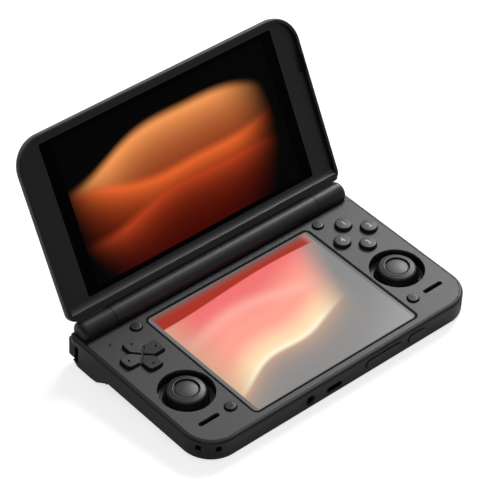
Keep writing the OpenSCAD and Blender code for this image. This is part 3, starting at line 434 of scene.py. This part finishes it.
shell = moulded("case_black", (0.0085, 0.0085, 0.0087), 0.40, 0.36)
carried("base_tray", shell)
well = [(WELL_HOLE, WELL_UNDER), (WELL_HOLE, WELL_FLOOR), (10.5, WELL_FLOOR), (10.5, 2.0),
        (10.65, WELL_BEAD), (11.15, WELL_BEAD), (11.3, 2.0), (11.3, WELL_FLOOR), (12.1, WELL_FLOOR),
        (12.32, 1.7), (WELL_WALL, 1.95), (WELL_WALL, WELL_RIM), (WELL_OUT, WELL_RIM),
        (WELL_OUT, WELL_UNDER), (WELL_HOLE, WELL_UNDER)]
for side, s in (("left", -1), ("right", 1)):
    ring_well = lathe(well, (s * STICK[0], STICK[1]), PIVOT, 128)
    finish(add_mesh("stick_well_" + side, ring_well, "base"), shell)
rubber = moulded("rubber", (0.0075, 0.0075, 0.0075), 0.72, 0.1, 0.5, 0.02)
carried("rubber_feet", rubber)

# ---------------------------------------------------------------- lower screen
# Laminated glass in a soft black gasket that stands level with the deck. The panel is lit;
# the picture is plain drifting bands. Its pale grey ground and grey margin are a painted
# reflection of the bright studio in the glass, and the dark red strip at its rear is a
# painted reflection of the upper screen.
GASKET_OUT = (-47.3, 47.3, -41.2, 32.0, 2.95)
GASKET_IN = (-46.15, 46.15, -40.05, 30.85, 1.8)
GASKET_EDGE = 0.42
GLASS_X, GLASS_Y0, GLASS_Y1, GLASS_ROUND = 46.1, -40, 30.8, 1.75
GLASS_UNDER, GLASS_TOP, GLASS_EDGE = 9.85, 10.55, 0.1
MARGIN_X, MARGIN_REAR = (44.5, 44.7), (30.0, 30.3)
SAND, CORAL, CRIMSON = (1.0, 0.76, 0.46), (1.0, 0.36, 0.28), (0.88, 0.17, 0.17)
ROSE, CREAM, AMBER = (1.0, 0.50, 0.42), (1.0, 0.95, 0.72), (0.95, 0.50, 0.26)
# Painted reflection of the upper screen: the dark red strip along the rear of the lower picture.
REFLECTED_RED, REFLECTED_BROWN = (0.40, 0.028, 0.014), (0.22, 0.10, 0.09)
# Painted reflection: the grey sheen of the bright studio in the glass, given out as the panel's own light
# under the bands and round the picture.
PAINTED_SHEEN, MARGIN_PAINTED_SHEEN = (0.245, 0.245, 0.247), (0.16, 0.165, 0.165)

gasket = add_mesh("gasket_ring", plate([boxed(*GASKET_OUT), boxed(*GASKET_IN)],
                                       UNDER + 0.05, TOP, GASKET_EDGE, 4), "base")
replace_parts(finish(gasket, rubber), "lower_gasket")

lower = add_mesh("lower_screen", plate([boxed(-GLASS_X, GLASS_X, GLASS_Y0, GLASS_Y1, GLASS_ROUND)],
                                       GLASS_UNDER, GLASS_TOP, GLASS_EDGE), "base")
lit = Shade("lower_picture", 0.12, 0.05)
u = lit.x / GLASS_X
v = (lit.y - (GLASS_Y1 + GLASS_Y0) / 2) / ((GLASS_Y1 - GLASS_Y0) / 2)
crest = 0.42 * u - 0.36 - (lit.wave(u, 0.11, 2.9, 0.3) + lit.wave(u, 0.03, 7.1, 1.6))
behind = v - crest
band = lit.mix(lit.step(behind, 0.05, 0.5), SAND, CORAL)
band = lit.mix(lit.step(behind, 0.55, 1.1), band, CRIMSON)
second = v - (0.34 + lit.wave(u, 0.10, 3.3, 2.4))
band = lit.mix(0.55 * lit.glint(second, 0.012), band, ROSE)
band = lit.mix(lit.glint(behind, 0.004), band, CREAM)
spread = lit.step(behind, -0.05, 0.03) * lit.step(u - 0.35 * v, 0.78, 0.30) * lit.step(u, -1.15, -0.55)
glare = 0.55 * lit.exp(lit.least(behind, 0) * 7) * lit.step(u, 0.85, 0.35)
picture = lit.mix(spread, lit.mix(glare, PAINTED_SHEEN, AMBER), band)
# Painted reflection of the upper screen, laid over the rear of the picture.
lid_reflection_edge = 0.78 + lit.wave(u, 0.05, 2.2, 0.6)
lid_reflection = lit.step(v - lid_reflection_edge, -0.012, 0.012) * lit.step(u, 0.98, 0.86)
picture = lit.mix(lid_reflection, picture, lit.mix(lit.step(v, 0.86, 1.0), REFLECTED_RED, REFLECTED_BROWN))
margin = lit.most(lit.step(abs(lit.x), *MARGIN_X), lit.step(lit.y, *MARGIN_REAR))
lit.set("Base Color", (0.01, 0.01, 0.01))
# Round the picture the panel gives out the painted grey sheen.
lit.set("Emission Color", lit.mix(margin, picture, MARGIN_PAINTED_SHEEN))
lit.set("Emission Strength", 1.0)
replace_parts(finish(lower, lit), "lower_glass")

# ---------------------------------------------------------------- lid
# Two shells of the same black plastic: the back, with a lip round three sides, and the
# bezel, which ends in a rounded ridge over the hinge. A tube along the hinge carries them.
lid_black = moulded("lid_black", (0.0085, 0.0085, 0.0087), 0.40, 0.4)
carried("lid_cover lid_bezel hinge_barrel", lid_black)

# ---------------------------------------------------------------- upper screen
# Glass over a lit panel, sunk a quarter of a millimetre below the bezel. Black round the
# picture; soft ridges of warm light lie one behind the other.
AXIS = Vector((0, 40.5, 12.3))
OPEN = math.radians(-118.7)
LID = Matrix.Translation(AXIS) @ Matrix.Rotation(OPEN, 4, "X")
PANE, PANE_UNDER, PANE_TOP = (-64.4, 64.4, -82.8, -12.2, 0.9), 1.45, 2.25
VIEW_X, VIEW_Y, VIEW_SIDE, VIEW_UP, VIEW_SOFT = 58.3, 33, 0.2, 47.4, 0.1
NIGHT, EMBER, PANE_BLACK = (0.001, 0.001, 0.001), (0.055, 0.0025, 0.001), (0.0016, 0.0016, 0.0017)
# Each ridge: its height, sway, start and softness, then its bright and its deep colour.
RIDGES = (
    (0.44, 0.22, 1.25, 0.62, (0.95, 0.34, 0.10), (0.20, 0.012, 0.002)),
    (0.04, 0.15, 4.4, 0.46, (0.80, 0.13, 0.025), (0.075, 0.003, 0.001)),
    (-0.40, 0.12, 0.9, 0.40, (0.45, 0.05, 0.012), (0.045, 0.001, 0.0005)),
)

upper = add_mesh("upper_screen", plate([boxed(*PANE)], PANE_UNDER, PANE_TOP, GLASS_EDGE), "lid", LID)
glow = Shade("upper_picture", 0.08, 0.03)
up_lid = -math.cos(OPEN) * (glow.y - AXIS.y) - math.sin(OPEN) * (glow.z - AXIS.z)
u, v = glow.x / VIEW_X, (up_lid - VIEW_UP) / VIEW_Y
low_glow = glow.step(u * u * 0.9 + (v + 0.35) * (v + 0.35), 1.0, 0.0)
picture = glow.mix(low_glow, NIGHT, EMBER)
for crest, sway, turn, reach, hot, deep in RIDGES:
    below = crest + glow.wave(u, sway, 2.3, turn) + glow.wave(u, 0.035, 6.1, 3 * turn) - v
    light = glow.exp(-glow.most(below, 0) / reach * 2.2)
    picture = glow.mix(glow.step(below, -0.14, 0.03), picture, glow.mix(light, deep, hot))
away = glow.step((u + 0.06) * (u + 0.06) + 0.3 * v * v, 1.0, 0.26)
picture = glow.mix(away, NIGHT, picture)
inside = (glow.step(abs(glow.x - VIEW_SIDE), VIEW_X + VIEW_SOFT, VIEW_X - VIEW_SOFT)
          * glow.step(abs(up_lid - VIEW_UP), VIEW_Y + VIEW_SOFT, VIEW_Y - VIEW_SOFT))
glow.set("Base Color", PANE_BLACK)
glow.set("Emission Color", glow.mix(inside, (0, 0, 0), picture))
glow.set("Emission Strength", 1.0)
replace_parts(finish(upper, glow), "upper_glass")

# ---------------------------------------------------------------- thumb sticks
# A rubber cap with a domed middle, a groove, a smooth ring and a knurled rim, on a hard
# black dome that closes the well below it.
stick_rubber = moulded("stick_rubber", (0.012, 0.012, 0.0122), 0.42, 0.4, 0.3, 0.008)
dome_black = moulded("dome_black", (0.010, 0.010, 0.010), 0.36, 0.3, 0.3, 0.004)
CAP_TOP = TOP + 1.5 - PIVOT
CAP_UNDER, CAP_FLOOR = CAP_TOP - 2.7, CAP_TOP - 1.9
MIDDLE_R, MIDDLE_TOP, MIDDLE_FALL = 4.9, CAP_TOP - 0.10, 0.42
DOME_OUT, DOME_IN, STEM = 9.6, 9.0, 1.5
RIBS = 96


def on_arc(out, up, wide, tall, degrees):
    """Profile points on an arc round (out, up), with 0 degrees at its top."""
    return [(out + wide * math.sin(math.radians(d)), up + tall * math.cos(math.radians(d)))
            for d in degrees]


cap = [(MIDDLE_R * i / 10, MIDDLE_TOP - MIDDLE_FALL * (i / 10) ** 2) for i in range(11)]
cap += [(5.08, CAP_TOP - 0.66), (5.14, CAP_TOP - 1.15), (5.5, CAP_TOP - 1.15), (5.56, CAP_TOP - 0.22),
        (5.68, CAP_TOP - 0.05), (5.85, CAP_TOP), (6.1, CAP_TOP - 0.05), (7.2, CAP_TOP - 0.42)]
cap += on_arc(7.3, CAP_FLOOR, 1.44, 1.47, range(15, 100, 12))
cap += [(8.68, CAP_TOP - 2.3), (8.42, CAP_TOP - 2.6), (8.0, CAP_UNDER), (7.0, CAP_UNDER),
        (6.6, CAP_FLOOR), (2.2, CAP_FLOOR), (STEM, CAP_TOP - 2.6), (STEM, 0), (1.06, -1.06), (0, -STEM)]
boot = on_arc(0, 0, DOME_OUT, DOME_OUT, range(53, 79, 2))
boot += on_arc(0, 0, DOME_IN, DOME_IN, range(78, 50, -2))
boot += [(3.0, 4.9), (STEM, 4.9), (STEM, 5.8), boot[0]]


def knurl_tree():
    """Fine ribs round a rim, each a thin round bar half sunk in it that follows its curve."""
    tree = bpy.data.node_groups.new("knurl", "GeometryNodeTree")
    for name, kind in (("Ribs", "NodeSocketInt"), ("Rib radius", "NodeSocketFloat"),
                       ("Inner radius", "NodeSocketFloat"), ("Outer radius", "NodeSocketFloat"),
                       ("Upper", "NodeSocketFloat"), ("Lower", "NodeSocketFloat"),
                       ("Finish", "NodeSocketMaterial")):
        tree.interface.new_socket(name, in_out="INPUT", socket_type=kind)
    tree.interface.new_socket("Geometry", in_out="OUTPUT", socket_type="NodeSocketGeometry")
    new, link = tree.nodes.new, tree.links.new
    given, out = new("NodeGroupInput").outputs, new("NodeGroupOutput")
    corners = []
    for r, h in (("Inner radius", "Upper"), ("Outer radius", "Upper"), ("Outer radius", "Lower")):
        at = new("ShaderNodeCombineXYZ")
        link(given[r], at.inputs["X"])
        link(given[h], at.inputs["Z"])
        corners.append(at.outputs[0])
    path, section, rib = (new("GeometryNodeCurveQuadraticBezier"), new("GeometryNodeCurvePrimitiveCircle"),
                          new("GeometryNodeCurveToMesh"))
    path.inputs["Resolution"].default_value = 5
    section.inputs["Resolution"].default_value = 6
    for socket, corner in zip(("Start", "Middle", "End"), corners):
        link(corner, path.inputs[socket])
    link(given["Rib radius"], section.inputs["Radius"])
    link(path.outputs[0], rib.inputs["Curve"])
    link(section.outputs[0], rib.inputs["Profile Curve"])
    rib.inputs["Fill Caps"].default_value = True
    points, index, share, turn, spin = (new(kind) for kind in (
        "GeometryNodePoints", "GeometryNodeInputIndex", "ShaderNodeMath", "ShaderNodeMath",
        "ShaderNodeCombineXYZ"))
    share.operation, turn.operation = "DIVIDE", "MULTIPLY"
    turn.inputs[1].default_value = math.tau
    copies, real, coat = (new("GeometryNodeInstanceOnPoints"), new("GeometryNodeRealizeInstances"),
                          new("GeometryNodeSetMaterial"))
    for a, b in ((given["Ribs"], points.inputs["Count"]), (index.outputs[0], share.inputs[0]),
                 (given["Ribs"], share.inputs[1]), (share.outputs[0], turn.inputs[0]),
                 (turn.outputs[0], spin.inputs["Z"]), (points.outputs[0], copies.inputs["Points"]),
                 (rib.outputs[0], copies.inputs["Instance"]), (spin.outputs[0], copies.inputs["Rotation"]),
                 (copies.outputs[0], real.inputs[0]), (real.outputs[0], coat.inputs["Geometry"]),
                 (given["Finish"], coat.inputs["Material"]), (coat.outputs[0], out.inputs[0])):
        link(a, b)
    return tree


def grown(tree, **inputs):
    """The plain mesh that a tree makes, its inputs given by name with _ for a space."""
    host = bpy.data.objects.new("host", bpy.data.meshes.new("host"))
    scene.collection.objects.link(host)
    mod = host.modifiers.new("grow", "NODES")
    mod.node_group = tree
    for item in tree.interface.items_tree:
        if item.in_out == "INPUT" and item.name.replace(" ", "_") in inputs:
            mod[item.identifier] = inputs[item.name.replace(" ", "_")]
    me = bpy.data.meshes.new_from_object(host.evaluated_get(bpy.context.evaluated_depsgraph_get()))
    host.modifiers.remove(mod)
    bpy.data.objects.remove(host)
    return me


knurl = knurl_tree()
for side, s in (("left", -1), ("right", 1)):
    at = (s * STICK[0], STICK[1])
    body = "stick_" + side
    top = finish(add_mesh(body + "_cap", lathe(cap, at, PIVOT), body), stick_rubber)
    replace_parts(top, "stick_cap_" + side)
    ribs = grown(knurl, Ribs=RIBS, Rib_radius=0.1, Inner_radius=7.7, Outer_radius=8.7,
                 Upper=CAP_TOP - 0.66, Lower=CAP_TOP - 2.2, Finish=stick_rubber.material)
    rim = add_mesh(body + "_knurl", ribs, body, Matrix.Translation((*at, PIVOT)))
    finish(rim, stick_rubber)
    finish(add_mesh(body + "_dome", lathe(boot, at, PIVOT), body), dome_black)

# ---------------------------------------------------------------- direction pad
# One dark moulding: four arms, each a raised pentagon whose top falls to the middle, with
# a V groove between neighbours and a small dimple near each tip. It sits on a ball.
ARMS, SKIRT = (20, 6.9, 1.2), (21.8, 9.3, 1.5)
SKIRT_UNDER, SKIRT_TOP, CROSS_TOP = 7.3, 8.0, 10.75
ARM_FOOT, PAD_TOP, ARM_EDGE, ARM_SIDE, GROOVE = 10.2, 12.2, 0.3, 3.43, 0.62
FALL, FALL_FROM = 0.06, 9.2
DIMPLE_OUT, DIMPLE_R = 7.3, 0.42


def joined(*meshes):
    bm = bmesh.new()
    for me in meshes:
        bm.from_mesh(me)
    out = bpy.data.meshes.new("joined")
    bm.to_mesh(out)
    bm.free()
    return out


key_grey = moulded("key_grey", (0.016, 0.016, 0.0164), 0.42, 0.3, 0.25, 0.004)
# Painted shade: the near-black of the menu keys' engraved signs.
mark_dark = moulded("mark_dark", (0.006, 0.006, 0.006), 0.5, 0.1)
heel = GROOVE + ARM_SIDE
arm = [(GROOVE, 0), (heel, -ARM_SIDE)] + arm_tip(*ARMS)[1:-1] + [(heel, ARM_SIDE)]
arms = []
for q in range(4):
    me = plate([arm, ring((DIMPLE_OUT, 0), DIMPLE_R, 24)], ARM_FOOT, PAD_TOP, ARM_EDGE, 4)
    for vert in me.vertices:
        if vert.co.z > (ARM_FOOT + PAD_TOP) / 2:
            vert.co.z -= FALL * max(0, FALL_FROM - vert.co.x)
    me.transform(Matrix.Translation((*PAD, 0)) @ Matrix.Rotation(q * math.pi / 2, 4, "Z"))
    arms.append(me)
pad_mesh = joined(plate([pad_plan(*ARMS)], SKIRT_TOP, CROSS_TOP, 0.1),
                  plate([pad_plan(*SKIRT)], SKIRT_UNDER, SKIRT_TOP, 0.1),
                  lathe([(0, 7.6), (2.6, 7.6), (2.6, 6.0), (1.62, 6.0)], PAD), *arms)
pad = finish(add_mesh("direction_pad", pad_mesh, "dpad"), key_grey)
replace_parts(pad, "dpad_cross")

# ---------------------------------------------------------------- round buttons
# Dark moulded keys with a softly domed top. The four action keys are numbered. The four
# menu keys carry plain engraved signs, each drawn as a near-black sheet a hair proud of the
# top whose darkness is painted shade of the engraving.
ACTION_R, ACTION_TOP = 3.8, 12.4
MENU_R, MENU_TOP = 2.55, 11.6
KEY_TURN, KEY_DOME = 0.4, 0.12
NUMERAL_SIZE, NUMERAL_Z = 3.9, 12.36
SIGN_UNDER, SIGN_TOP = 11.5, 11.608


def key(r, top):
    """Profile of a round key over its flange."""
    flat = r - KEY_TURN
    dome = [(flat * i / 6, top - KEY_DOME * (i / 6) ** 2) for i in range(7)]
    turn = on_arc(flat, top - KEY_DOME - KEY_TURN, KEY_TURN, KEY_TURN, range(18, 91, 12))
    flange = [(r, 8.9), (r + 0.6, 8.9), (r + 0.7, 8.8), (r + 0.7, 8.0), (r + 0.6, 7.9), (0, 7.9)]
    return dome + turn + flange


def numeral(text, at):
    """A numeral printed on a key, a hair proud of its top."""
    curve = bpy.data.curves.new("numeral", "FONT")
    curve.body, curve.size, curve.extrude, curve.offset = text, NUMERAL_SIZE, 0.05, 0.03
    obj = bpy.data.objects.new("numeral", curve)
    scene.collection.objects.link(obj)
    me = bpy.data.meshes.new_from_object(obj.evaluated_get(bpy.context.evaluated_depsgraph_get()))
    bpy.data.objects.remove(obj)
    low, high = (Vector(f(c) for c in zip(*(vv.co for vv in me.vertices))) for f in (min, max))
    mid = (low + high) / 2
    me.transform(Matrix.Translation((at[0] - mid.x, at[1] - mid.y, NUMERAL_Z)))
    return me


def block(x, y, wide, long, turn):
    """Rectangle round (x, y), of half a width and half a length."""
    return boxed(x - wide, x + wide, y - long, y + long, turn)


mark_pale = moulded("mark_pale", (0.62, 0.62, 0.63), 0.5, 0.2, mottle=0.03)
for (name, at), text in zip(ACTION.items(), "1234"):
    body = "action_" + name
    button = add_mesh(body + "_key", lathe(key(ACTION_R, ACTION_TOP), at, 0, 72), body)
    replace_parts(finish(button, key_grey), "action_button_" + name)
    finish(add_mesh(body + "_numeral", numeral(text, at), body), mark_pale)
for name, at in MENU.items():
    body = "menu_" + name
    x, y = at
    button = add_mesh(body + "_key", lathe(key(MENU_R, MENU_TOP), at, 0, 56), body)
    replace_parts(finish(button, key_grey), "menu_button_" + name)
    sign = {"rear_left": [[ring(at, 1.3, 40), ring(at, 0.92, 40)], [ring(at, 0.38, 20)]],
            "rear_right": [[block(x, y, 1.05, 1.05, 0.3), block(x, y, 0.68, 0.68, 0.1)]],
            "front_left": [[block(x, y + d, 1.15, 0.19, 0.15)] for d in (-0.72, 0, 0.72)],
            "front_right": [[block(x + d, y, 0.2, 1.05, 0.15)] for d in (-0.5, 0.5)]}[name]
    # The dark sheet paints the shade inside the engraved sign.
    me = joined(*(plate(loops, SIGN_UNDER, SIGN_TOP, 0.004, 1) for loops in sign))
    finish(add_mesh(body + "_sign", me, body), mark_dark)

# ---------------------------------------------------------------- front edge
# Power and volume keys in the shell's black, the headphone jack and the charging port. The
# loudspeakers, the sticks' housings and the direction pad's seat are the jack's plastic; the
# hinge shafts and the lid's frame are the port's dark steel.


def brushed(name, colour, rough):
    """Rolled or turned metal with a fine grain drawn along x."""
    s = Shade(name, level=0.5, metallic=1.0)
    streak = s.noise(0.5, 3, 0.6, (0.05, 1, 1))
    s.tone(colour, 0.12, streak)
    s.set("Roughness", rough - 0.06 + 0.12 * streak)
    s.bump(streak, 0.006)
    return s


edge_key = moulded("edge_key", (0.009, 0.009, 0.0092), 0.42, 0.36)
carried("power_button volume_rocker", edge_key)
dark_steel = brushed("dark_steel", (0.035, 0.035, 0.037), 0.42)
carried("usb_port hinge_shaft_left hinge_shaft_right lid_frame", dark_steel)
black = moulded("black_plastic", (0.006, 0.006, 0.006), 0.42, 0.1, 0.3, 0.008)
carried("audio_jack speaker_left speaker_right stick_housing_left stick_housing_right stick_slider_left "
        "stick_slider_right dpad_seat", black)

# ---------------------------------------------------------------- shoulder buttons
# Two levers a side at the rear corners, moulded in the shell's black with a smoother face.
# Each swings on an upright pin in the case and presses a small switch.
lever = moulded("lever_black", (0.012, 0.012, 0.0122), 0.4, 0.15, 0.3, 0.006)
carried("shoulder_button_left shoulder_button_right trigger_left trigger_right", lever)

# ---------------------------------------------------------------- screws and pins
# Plated steel screws hold the halves together; the pins and sleeves are turned. The shield
# over the processor is pressed from sheet, and the sticks' gimbals have the same steel.
steel = brushed("steel", (0.42, 0.43, 0.45), 0.34)
carried("volume_pin base_screws lid_screws shoulder_pins shoulder_switches processor_shield "
        "stick_gimbal_left stick_gimbal_right dpad_pivot hinge_sleeve_left hinge_sleeve_right", steel)

# ---------------------------------------------------------------- inner parts
# Hidden in the case: boards, battery, silicone pads, panels and the lid's ribbon cable. The
# boards are lacquered green. The small dark lens by the direction pad carries a light.
silicone = moulded("silicone", (0.27, 0.27, 0.272), 0.6, 0.4, 0.6, 0.01)
carried("key_pad_left key_pad_right", silicone)
board = Shade("board_green", 0.38, 0.5)
cells = board.node("ShaderNodeTexVoronoi", {"Vector": board.place, "Scale": 1 / 2.4}, "Distance")
trace = board.step(cells, 0.40, 0.46)
board.set("Base Color", board.mix(trace, (0.010, 0.060, 0.028), (0.022, 0.105, 0.052)))
board.bump(trace, 0.03)
carried("main_board control_board_left control_board_right port_board", board)
cell = moulded("cell_foil", (0.045, 0.05, 0.06), 0.35, 0.5, 2.0, 0.05)
carried("battery", cell)
panel = moulded("panel_black", (0.008, 0.0086, 0.0103), 0.25, 0.4, 0.4, 0.004)
carried("lower_display upper_display", panel)
ribbon = moulded("ribbon_amber", (0.153, 0.0685, 0.016), 0.3, 0.5, 1.2, 0.01)
carried("display_flex", ribbon)
lens = moulded("lens", (0.003, 0.003, 0.0032), 0.4, 0.1, 0.5, 0.004)
carried("status_light", lens)
